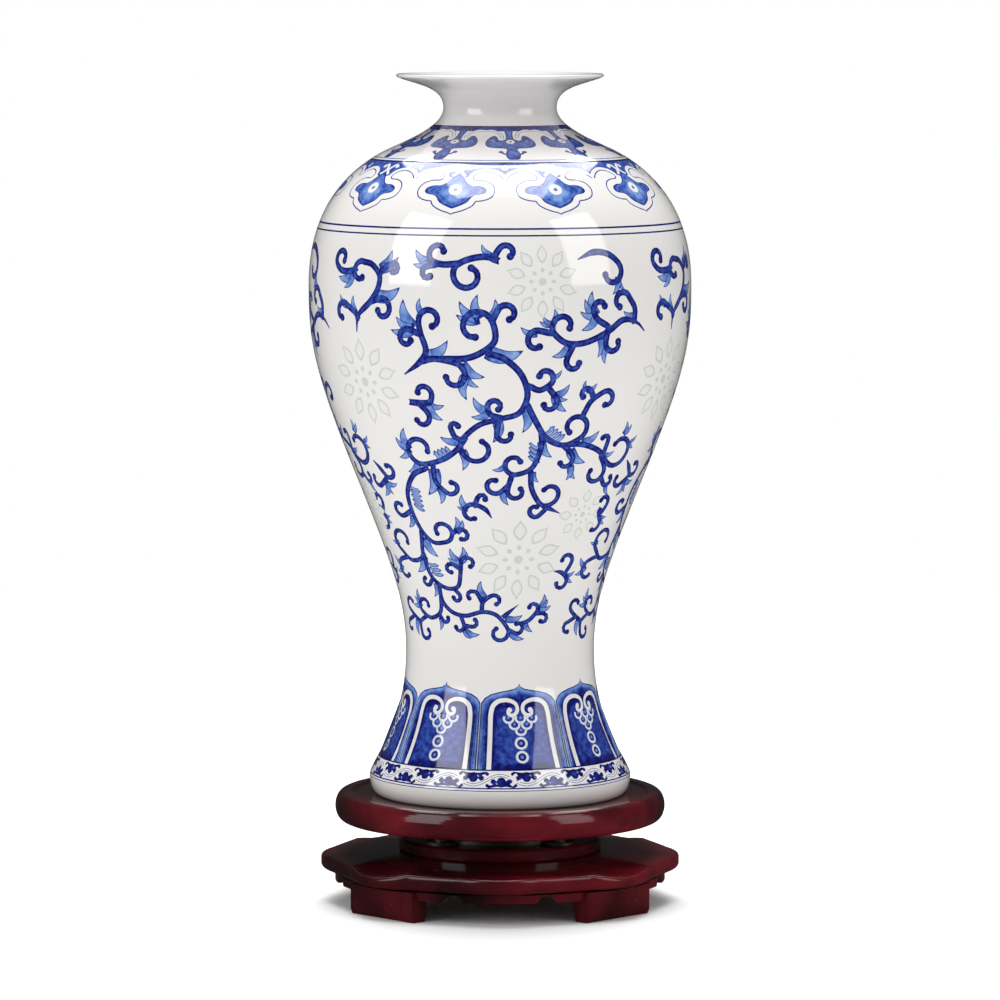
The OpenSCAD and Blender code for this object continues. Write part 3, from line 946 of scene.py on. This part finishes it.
def uppermost(corners, triangles, shapes, ref):
    """For each triangle the number of the last shape that covers it, or -1. ref is the radius of the zone."""
    middles = corners[triangles].mean(1)
    order = np.argsort(middles[:, 0])
    across = middles[order, 0]
    top = np.full(len(triangles), -1)
    for k, shape in enumerate(shapes):
        ring = shape.outline * (ref, 1)
        low, high = ring.min(0), ring.max(0)
        near = order[slice(*np.searchsorted(across, [low[0], high[0]]))]
        near = near[(middles[near, 1] > low[1]) & (middles[near, 1] < high[1])]
        top[near[winds_round(middles[near], ring)]] = k
    return top


def from_seam(shapes):
    """The shapes within the turn that begins at the seam. One that crosses the seam is laid at both ends."""
    laid = []
    for shape in shapes:
        turns = math.floor((shape.outline[:, 0].mean() - SEAM) / (2 * math.pi))
        here = shape.turned(-turns * 2 * math.pi)
        laid.append(here)
        if here.outline[:, 0].min() < SEAM:
            laid.append(here.turned(2 * math.pi))
        if here.outline[:, 0].max() > COLUMN_ANGLES[-1]:
            laid.append(here.turned(-2 * math.pi))
    return laid


def drawn_points(shapes):
    """All points of the shapes, the shape and the pigment of each, and the edges of the outlines."""
    points, owner, pigment, edges = [], [], [], []
    for k, shape in enumerate(shapes):
        start = len(points)
        points += [tuple(p) for p in shape.outline]
        edges += [(i, i + 1) for i in range(start, len(points) - 1)] + [(len(points) - 1, start)]
        points += [tuple(p) for p in shape.inner]
        owner += [k] * (len(points) - start)
        pigment += [*shape.edge, *shape.middle[:len(shape.inner)]]
    return points, owner, pigment, edges


def grid_points(points, rows, ref):
    """Points of a zone's border, and of an even grid inside it that keeps clear of the drawn points."""
    tree = kdtree.KDTree(len(points))
    for i, (a, s) in enumerate(points):
        tree.insert((a * ref, s, 0), i)
    tree.balance()
    step = COLUMN_ANGLES[1] - COLUMN_ANGLES[0]
    last = COLUMN_ANGLES[-1]
    grid = [(a, s) for s in (rows[0], rows[-1]) for a in COLUMN_ANGLES]
    grid += [(a, s) for s in rows[1:-1] for a in (SEAM, last)]
    for i, s in enumerate(rows[1:-1]):
        for a in COLUMN_ANGLES[1:-1] + (step / 2 if i % 2 else 0):
            if a < last - step * 0.3 and tree.find((a * ref, s, 0))[2] > GRID_CLEARANCE:
                grid.append((a, s))
    return grid


def spaced(low, high, step):
    """Even distances from low to high, no more than a step apart."""
    return np.linspace(low, high, max(2, math.ceil((high - low) / step) + 1))


class Skin:
    """Triangles of a turned surface, with pigment at each corner."""

    def __init__(self, profile):
        self.profile = profile
        self.points = []
        self.faces = []
        self.cobalt = []
        self.rice = []
        self.count = 0

    def add(self, points, faces, cobalt, rice):
        """One zone: its points, its triangles, and the pigment and the cuts at the triangles' corners."""
        self.points.append(np.asarray(points, float))
        self.faces.append(np.asarray(faces, int) + self.count)
        self.cobalt.append(np.asarray(cobalt, float))
        self.rice.append(np.asarray(rice, float))
        self.count += len(points)

    def plain(self, rows):
        """Unpainted rings of triangles through the given distances along the profile."""
        turn = np.arange(COLUMNS) * 2 * math.pi / COLUMNS
        points = [(a, s) for s in rows for a in turn]
        faces = []
        for i in range(len(rows) - 1):
            for j in range(COLUMNS):
                a = i * COLUMNS + j
                b = i * COLUMNS + (j + 1) % COLUMNS
                faces += [(a, b, b + COLUMNS), (a, b + COLUMNS, a + COLUMNS)]
        self.add(points, faces, np.zeros((len(faces), 3)), np.zeros((len(faces), 3)))

    def painted(self, low, high, shapes, cell):
        """One zone between two distances, cut along the outlines of its shapes. Later shapes lie on top.

        cell is about the height of a row of the grid that fills the rest.
        """
        ref = float(self.profile.radius((low + high) / 2))
        shapes = from_seam(shapes)
        points, owner, pigment, edges = drawn_points(shapes)
        corners = [len(points) + i for i in (0, COLUMNS, 2 * COLUMNS + 1, COLUMNS + 1)]
        edges += zip(corners, corners[1:] + corners[:1])
        grid = grid_points(points, np.linspace(low, high, max(2, round((high - low) / cell) + 1)), ref)
        owner += [-1] * len(grid)
        flat = [Vector((a * ref, s)) for a, s in points + grid]
        places, _, triangles, origins, _, _ = delaunay_2d_cdt(flat, edges, [], 0, 1e-5, True)
        places = np.array([tuple(v) for v in places])
        triangles = np.array(triangles)
        middles = places[triangles].mean(1)
        within = (middles[:, 0] > SEAM * ref) & (middles[:, 0] < COLUMN_ANGLES[-1] * ref)
        within &= (middles[:, 1] > low) & (middles[:, 1] < high)
        triangles = triangles[within]
        cobalt = np.zeros((len(triangles), 3))
        rice = np.zeros((len(triangles), 3))
        for t, k in enumerate(uppermost(places, triangles, shapes, ref)):
            if k < 0:
                continue
            rice[t] = shapes[k].rice
            # A corner that its own shape drew has that pigment. One of another shape or of the grid has the
            # middle's, and one where two lines cross has the edge's
            for c, v in enumerate(triangles[t]):
                own = [pigment[i] for i in origins[v] if owner[i] == k]
                rest = shapes[k].middle if origins[v] else shapes[k].edge
                cobalt[t, c] = own[0] if own else rest.mean()
        used, triangles = np.unique(triangles, return_inverse=True)
        self.add(places[used] / (ref, 1), triangles.reshape(-1, 3), cobalt, rice)

    def build(self, name):
        """One object of all zones, with the points of neighbouring zones merged where they meet."""
        points = np.concatenate(self.points)
        faces = np.concatenate(self.faces)
        cobalt = np.concatenate(self.cobalt)
        rice = np.concatenate(self.rice)
        # Both ends of the turn are one place, and so is the axis at every azimuth
        turn = np.mod(points[:, 0], 2 * math.pi)
        turn[turn > 2 * math.pi - 1e-5] = 0
        turn[self.profile.radius(points[:, 1]) < 1e-6] = 0
        key = np.stack([np.round(turn * 1e5), np.round(points[:, 1] * 1e3)], -1).astype(np.int64)
        _, first, back = np.unique(key, axis=0, return_index=True, return_inverse=True)
        faces = back.reshape(-1)[faces]
        good = (faces[:, 0] != faces[:, 1]) & (faces[:, 1] != faces[:, 2]) & (faces[:, 2] != faces[:, 0])
        faces, cobalt, rice = faces[good], cobalt[good], rice[good]
        turn, climb = turn[first], points[first, 1]
        mesh = bpy.data.meshes.new(name)
        mesh.from_pydata(self.profile.points(turn, climb).tolist(), [], faces.tolist())
        for label, values in (("cobalt", cobalt), ("rice", rice)):
            layer = mesh.attributes.new(label, "FLOAT", "CORNER")
            layer.data.foreach_set("value", values.astype(np.float32).ravel())
        mesh.shade_smooth()
        mesh.normals_split_custom_set_from_vertices(self.profile.normals(turn, climb).tolist())
        piece = bpy.data.objects.new(name, mesh)
        bpy.context.collection.objects.link(piece)
        return piece


def make_vase():
    """The outside, zone by zone from the foot up, and the plain inside."""
    foot, lappets, field, collar, neck, plain = (float(OUTSIDE.at_height(z)) for z in ZONE_BORDERS)
    skin = Skin(OUTSIDE)
    start = OUTSIDE.s[:OUTSIDE.climb + 1]
    skin.plain(np.r_[start[start < foot - 0.05], foot])
    skin.painted(foot, lappets, foot_band(), 2.4)
    skin.painted(lappets, field, lappet_zone(), 2.4)
    skin.painted(field, collar, scroll_zone(), 3.2)
    skin.painted(collar, neck, collar_zone(), 3.0)
    skin.painted(neck, plain, neck_zone(), 2.0)
    skin.plain(spaced(plain, OUTSIDE.s[-1], 1.1))
    outside = skin.build("vase_outside")
    lining = Skin(INSIDE)
    lining.plain(INSIDE.s)
    return outside, lining.build("vase_inside")


# ---- Materials ----

def new_material(name):
    """A material, its node tree and its shader."""
    material = bpy.data.materials.new(name)
    material.use_nodes = True
    tree = material.node_tree
    return material, tree, tree.nodes["Principled BSDF"]


def node(tree, kind, **inputs):
    """A new node with the given values in its inputs."""
    made = tree.nodes.new(kind)
    for name, value in inputs.items():
        made.inputs[name.replace("_", " ")].default_value = value
    return made


def feed(tree, socket, value):
    """An input takes the output of another node, or a plain value."""
    if isinstance(value, bpy.types.NodeSocket):
        tree.links.new(value, socket)
    else:
        socket.default_value = value


def ramp(tree, fac, stops):
    """A colour ramp through (place, colour) stops."""
    made = tree.nodes.new("ShaderNodeValToRGB")
    band = made.color_ramp
    while len(band.elements) < len(stops):
        band.elements.new(0.5)
    for element, (place, colour) in zip(band.elements, stops):
        element.position = place
        element.color = (*colour, 1)
    tree.links.new(fac, made.inputs["Fac"])
    return made.outputs["Color"]


def grey_ramp(tree, fac, low, high):
    return ramp(tree, fac, [(0, (low, low, low)), (1, (high, high, high))])


def mix(tree, kind, fac, a, b):
    made = tree.nodes.new("ShaderNodeMix")
    made.data_type = "RGBA"
    made.blend_type = kind
    feed(tree, made.inputs["Factor"], fac)
    feed(tree, made.inputs["A"], a)
    feed(tree, made.inputs["B"], b)
    return made.outputs["Result"]


def math_node(tree, operation, a, b):
    made = tree.nodes.new("ShaderNodeMath")
    made.operation = operation
    feed(tree, made.inputs[0], a)
    feed(tree, made.inputs[1], b)
    return made.outputs["Value"]


def object_noise(tree, scale, detail, stretch=(1, 1, 1)):
    """Noise that is fixed to the object."""
    place = tree.nodes.new("ShaderNodeTexCoord")
    mapping = tree.nodes.new("ShaderNodeMapping")
    mapping.inputs["Scale"].default_value = stretch
    tree.links.new(place.outputs["Object"], mapping.inputs["Vector"])
    noise = node(tree, "ShaderNodeTexNoise", Scale=scale, Detail=detail)
    tree.links.new(mapping.outputs["Vector"], noise.inputs["Vector"])
    return noise.outputs["Fac"]


def bump(tree, shader, height, strength, distance):
    """Slight unevenness of the surface, from a noise."""
    made = node(tree, "ShaderNodeBump", Strength=strength, Distance=distance)
    tree.links.new(height, made.inputs["Height"])
    tree.links.new(made.outputs["Normal"], shader.inputs["Normal"])


GLAZE_WHITE = (0.76, 0.742, 0.725)
RICE_GREEN = (0.48, 0.55, 0.49)
# Colour of the glaze by the strength of its pigment, from bare to the darkest pools
COBALT = [
    (0, (1, 1, 1)), (0.14, (0.66, 0.76, 0.97)), (0.28, (0.32, 0.50, 0.90)), (0.45, (0.15, 0.29, 0.75)),
    (0.65, (0.04, 0.10, 0.48)), (0.85, (0.012, 0.02, 0.26)), (1, (0.005, 0.006, 0.13))
]


def porcelain(painted):
    """Glazed white porcelain. The painted one has cobalt that pools unevenly, and pale glaze-filled cuts."""
    material, tree, shader = new_material("porcelain_painted" if painted else "porcelain_plain")
    tone = object_noise(tree, 14, 3)
    glaze = mix(tree, "MULTIPLY", 1.0, (*GLAZE_WHITE, 1), grey_ramp(tree, tone, 0.96, 1.0))
    if painted:
        pigment = tree.nodes.new("ShaderNodeAttribute")
        pigment.attribute_name = "cobalt"
        wash = object_noise(tree, 420, 5)
        pooled = math_node(tree, "MULTIPLY", pigment.outputs["Fac"], grey_ramp(tree, wash, 0.5, 1.45))
        glaze = mix(tree, "MULTIPLY", 1.0, glaze, ramp(tree, pooled, COBALT))
        cut = tree.nodes.new("ShaderNodeAttribute")
        cut.attribute_name = "rice"
        depth = grey_ramp(tree, object_noise(tree, 90, 2), 0.55, 0.95)
        glow = math_node(tree, "MULTIPLY", cut.outputs["Fac"], depth)
        glaze = mix(tree, "MIX", glow, glaze, (*RICE_GREEN, 1))
    tree.links.new(glaze, shader.inputs["Base Color"])
    tree.links.new(grey_ramp(tree, object_noise(tree, 60, 2), 0.05, 0.12), shader.inputs["Roughness"])
    shader.inputs["IOR"].default_value = 1.54
    shader.inputs["Coat Weight"].default_value = 0.7
    shader.inputs["Coat IOR"].default_value = 1.54
    shader.inputs["Coat Roughness"].default_value = 0.06
    bump(tree, shader, object_noise(tree, 35, 2), 0.05, 0.001)
    return material


RED_DARK = (0.018, 0.002, 0.003)
RED_LIGHT = (0.092, 0.005, 0.010)
CLOUDING = [(0.38, (0.3, 0.3, 0.35)), (0.62, (1.4, 1.15, 1.15))]


def lacquer(name, grain, rough):
    """Red lacquer over rosewood. The figure is drawn out along the axis whose share in grain is small."""
    material, tree, shader = new_material(name)
    figure = object_noise(tree, 30, 6, grain)
    pores = object_noise(tree, 260, 3, grain)
    wood = ramp(tree, figure, [(0.3, RED_DARK), (0.55, RED_LIGHT), (0.75, RED_DARK)])
    wood = mix(tree, "MULTIPLY", 1.0, wood, grey_ramp(tree, pores, 0.6, 1.15))
    wood = mix(tree, "MULTIPLY", 1.0, wood, ramp(tree, object_noise(tree, 16, 2), CLOUDING))
    tree.links.new(wood, shader.inputs["Base Color"])
    tree.links.new(grey_ramp(tree, object_noise(tree, 25, 4), rough, rough + 0.2), shader.inputs["Roughness"])
    shader.inputs["Specular IOR Level"].default_value = 0.04
    shader.inputs["Coat Weight"].default_value = 0.65
    shader.inputs["Coat IOR"].default_value = 1.6
    shader.inputs["Coat Roughness"].default_value = 0.1
    bump(tree, shader, pores, 0.12, 0.0004)
    return material


def metal(name, colour, rough, spangle):
    """Dull metal with a fine spangle, which a larger number makes finer."""
    material, tree, shader = new_material(name)
    shader.inputs["Metallic"].default_value = 1.0
    cells = node(tree, "ShaderNodeTexVoronoi", Scale=spangle)
    place = tree.nodes.new("ShaderNodeTexCoord")
    tree.links.new(place.outputs["Object"], cells.inputs["Vector"])
    tint = mix(tree, "MULTIPLY", 1.0, (*colour, 1), grey_ramp(tree, cells.outputs["Distance"], 0.75, 1.1))
    tree.links.new(tint, shader.inputs["Base Color"])
    wear_marks = grey_ramp(tree, object_noise(tree, 120, 4), rough, rough + 0.2)
    tree.links.new(wear_marks, shader.inputs["Roughness"])
    return material


def dowel_wood():
    """Pale birch with its grain along the dowel."""
    material, tree, shader = new_material("birch")
    rings = object_noise(tree, 90, 5, (1, 1, 0.1))
    wood = ramp(tree, rings, [(0.3, (0.42, 0.28, 0.14)), (0.7, (0.66, 0.50, 0.30))])
    tree.links.new(wood, shader.inputs["Base Color"])
    shader.inputs["Roughness"].default_value = 0.6
    return material


# ---- Base plate: lobed edge, rounded brow, scooped lobes ----

PLATE_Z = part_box("base_plate")[0].z / MM
PLATE_TOP_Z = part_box("base_plate")[1].z / MM
# Millimetres, but CUSP_AT, LOBE_AT and CORNER_SPREAD are degrees
PLATE_R = 84
LOBE_H = 4
SIDE_LOBE_H = 2.5
CUSP_AT = 11.5
LOBE_AT = 31
FLAT_R = 48
CORNER_SPREAD = 13
BROW_H = 8.2
BROW_DIP = 2.2
SCOOP_H = 1.2
SCOOP_R = 73
SCOOP_SPREAD = 3.5
UPPER_ROUND = 1.9
LOWER_ROUND = 3.0
RIM_LOW_H = 0.8
PLATE_COLUMNS = 360
# Radii of the rings of points on the top, close together where it slopes
TOP_RINGS = (4, 20, 36, 44, FLAT_R, 53, 58, 63, 67, 70, 72.5, 74.5)


def from_side(angle):
    """Degrees from the middle of the nearest side: 0 to 45, where the corner is."""
    return abs((angle + 405) % 90 - 45)


def edge_radius(angle):
    """Radius of the plate's edge, by degrees from the front. A side lobe and a corner lobe end in cusps."""
    s = from_side(angle)
    base = PLATE_R - LOBE_H
    if s < CUSP_AT:
        return base + SIDE_LOBE_H * math.cos(math.pi / 2 * s / CUSP_AT)
    if s < LOBE_AT:
        return base - math.sin(math.pi * (s - CUSP_AT) / (LOBE_AT - CUSP_AT))
    return base + LOBE_H * math.sin(math.pi / 2 * (s - LOBE_AT) / (45 - LOBE_AT))


def corner(angle):
    """1 in the middle of a corner lobe, 0 beyond it."""
    return max(0.0, math.cos(math.pi / 2 * min(1, (45 - from_side(angle)) / CORNER_SPREAD)))


def brow(angle):
    """Height of the rim's upper edge above the plate's underside. It dips over the feet."""
    return BROW_H - BROW_DIP * corner(angle)


def plate_top(angle, radius):
    """Radius and height of a point of the top, which slopes to the brow and is scooped out over the feet."""
    thick = PLATE_TOP_Z - PLATE_Z
    edge = edge_radius(angle)
    share = max(0.0, (radius - FLAT_R) / (PLATE_R - LOBE_H - FLAT_R))
    slope = (thick - brow(angle)) * share ** 1.4
    scoop = SCOOP_H * corner(angle) * math.exp(-((radius - SCOOP_R) / SCOOP_SPREAD) ** 2)
    reach = radius * (1 - share) + radius * share * edge / (PLATE_R - LOBE_H)
    return min(reach, edge - UPPER_ROUND - 1), thick - slope - scoop


def plate_lines():
    """For each column its line of (radius, height) points: over the top, round the rim, and back under."""
    upper = arc((-UPPER_ROUND, -UPPER_ROUND), UPPER_ROUND, UPPER_ROUND, 90, 10, 5)
    lower = arc((-LOWER_ROUND, RIM_LOW_H + LOWER_ROUND), LOWER_ROUND, LOWER_ROUND, -5, -80, 6)
    lines = []
    for k in range(PLATE_COLUMNS):
        angle = 360 * k / PLATE_COLUMNS
        edge = edge_radius(angle)
        line = [plate_top(angle, radius) for radius in TOP_RINGS]
        line += [(edge + across, brow(angle) + up) for across, up in upper]
        line += [(edge + across, up) for across, up in lower]
        lines.append(line + [(edge - LOWER_ROUND - 3, 0), (40, 0), (4, 0)])
    return lines


def make_base_plate():
    """The plate as one closed mesh, ring by ring."""
    bm = bmesh.new()
    rings = []
    for ring in zip(*plate_lines()):
        row = []
        for k, (radius, up) in enumerate(ring):
            angle = 360 * k / PLATE_COLUMNS * DEG
            x, y = radius * math.sin(angle), -radius * math.cos(angle)
            row.append(bm.verts.new((x * MM, y * MM, (PLATE_Z + up) * MM)))
        rings.append(row)
    for inner, outer in zip(rings, rings[1:]):
        for k in range(PLATE_COLUMNS):
            after = (k + 1) % PLATE_COLUMNS
            bm.faces.new((inner[k], inner[after], outer[after], outer[k]))
    bm.faces.new(rings[0][::-1])
    bm.faces.new(rings[-1])
    bmesh.ops.recalc_face_normals(bm, faces=bm.faces)
    mesh = bpy.data.meshes.new("carved_base_plate")
    bm.to_mesh(mesh)
    bm.free()
    mesh.shade_smooth()
    piece = bpy.data.objects.new("carved_base_plate", mesh)
    bpy.context.collection.objects.link(piece)
    return piece


# ---- Floor, light, camera ----

FLOOR_REACH = 1.3


def make_floor():
    """A plain pale floor that is left out of reflections."""
    mesh = bpy.data.meshes.new("floor")
    corners = [(x * FLOOR_REACH, y * FLOOR_REACH, 0) for x, y in ((-1, -1), (1, -1), (1, 1), (-1, 1))]
    mesh.from_pydata(corners, [], [(0, 1, 2, 3)])
    floor = bpy.data.objects.new("floor", mesh)
    bpy.context.collection.objects.link(floor)
    material, tree, shader = new_material("floor_paper")
    tree.links.new(grey_ramp(tree, object_noise(tree, 3, 3), 0.86, 0.9), shader.inputs["Base Color"])
    shader.inputs["Roughness"].default_value = 0.7
    shader.inputs["Specular IOR Level"].default_value = 0.2
    mesh.materials.append(material)
    floor.visible_glossy = False


def make_light(name, place, aim, size, power):
    """A rectangular lamp that faces its aim."""
    lamp = bpy.data.lights.new(name, "AREA")
    lamp.shape = "RECTANGLE"
    lamp.size, lamp.size_y = size
    lamp.energy = power
    light = bpy.data.objects.new(name, lamp)
    light.location = place
    light.rotation_euler = (Vector(aim) - Vector(place)).to_track_quat("-Z", "Y").to_euler()
    bpy.context.collection.objects.link(light)


WORLD_SEEN = 1.0
WORLD_LIGHT = 0.4
WORLD_REFLECTED = 0.04


def make_world():
    """White behind the object, softer grey as light, and dim in reflections, as in a room with dark walls."""
    world = bpy.data.worlds.new("studio")
    world.use_nodes = True
    tree = world.node_tree
    path = tree.nodes.new("ShaderNodeLightPath")
    seen = math_node(tree, "MULTIPLY", path.outputs["Is Camera Ray"], WORLD_SEEN - WORLD_LIGHT)
    dimmed = math_node(tree, "MULTIPLY", path.outputs["Is Glossy Ray"], WORLD_LIGHT - WORLD_REFLECTED)
    strength = math_node(tree, "SUBTRACT", math_node(tree, "ADD", seen, WORLD_LIGHT), dimmed)
    back = tree.nodes["Background"]
    back.inputs["Color"].default_value = (1, 1, 1, 1)
    tree.links.new(strength, back.inputs["Strength"])
    bpy.context.scene.world = world


def make_studio():
    """Two soft boxes in front, one lamp overhead, and one over the floor behind."""
    middle = (0, 0, 0.3)
    make_light("softbox_left", (-1.72, -1.2, 1.2), middle, (1.2, 1.9), 21)
    make_light("softbox_right", (1.72, -1.2, 1.2), middle, (1.1, 1.9), 15)
    make_light("overhead", (0, 0.1, 2.4), middle, (1.6, 1.6), 42)
    make_light("background_light", (0, 1.9, 3.0), (0, 1.9, 0), (3, 2.4), 110)
    make_world()
    bpy.context.scene.view_settings.view_transform = "Standard"


CAMERA_TILT = 5.4


def make_camera():
    """A long lens that looks down a little."""
    data = bpy.data.cameras.new("camera")
    data.sensor_width = 36
    data.lens = 205.2
    camera = bpy.data.objects.new("camera", data)
    camera.location = (0, -2.602, 0.431)
    camera.rotation_euler = (math.radians(90 - CAMERA_TILT), 0, 0)
    bpy.context.collection.objects.link(camera)
    bpy.context.scene.camera = camera


# ---- The whole scene ----

def wear(material, *names):
    """CAD nodes keep their shape and take a material."""
    for name in names:
        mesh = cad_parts[name].data
        mesh.materials.clear()
        mesh.materials.append(material)


make_camera()
make_studio()
make_floor()

outside, lining = make_vase()
outside.data.materials.append(porcelain(True))
lining.data.materials.append(porcelain(False))
for piece in (outside, lining):
    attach(piece, "vase")
    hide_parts("vase")

plate_lacquer = lacquer("lacquer_plates", (0.12, 1, 1), 0.35)
foot_lacquer = lacquer("lacquer_feet", (1, 1, 0.15), 0.4)
plate = make_base_plate()
plate.data.materials.append(plate_lacquer)
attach(plate, "base")
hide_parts("base_plate")

feet = [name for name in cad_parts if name.startswith(("foot_front", "foot_back", "apron"))]
wear(foot_lacquer, *feet)
wear(plate_lacquer, "top_plate", "spacer_disc")
wear(dowel_wood(), "foot_dowels")
# Zinc and screw steel get darker colours than bare metal has, so that the swivel looks dim in the gap under
# the top plate: their grey tint is their own, their darkness is painted shade. The nails and the other screws
# share these colours.
zinc_with_painted_shade = metal("zinc_with_painted_shade", (0.30, 0.27, 0.23), 0.42, 300)
screw_steel_with_painted_shade = metal("screw_steel_with_painted_shade", (0.40, 0.37, 0.32), 0.35, 700)
wear(zinc_with_painted_shade, "swivel_lower_plate", "swivel_upper_plate", "swivel_eyelet", "foot_nails")
wear(screw_steel_with_painted_shade, "spacer_screws", "swivel_lower_screws", "swivel_upper_screws")
wear(metal("ball_steel", (0.72, 0.72, 0.74), 0.06, 900), "swivel_balls")
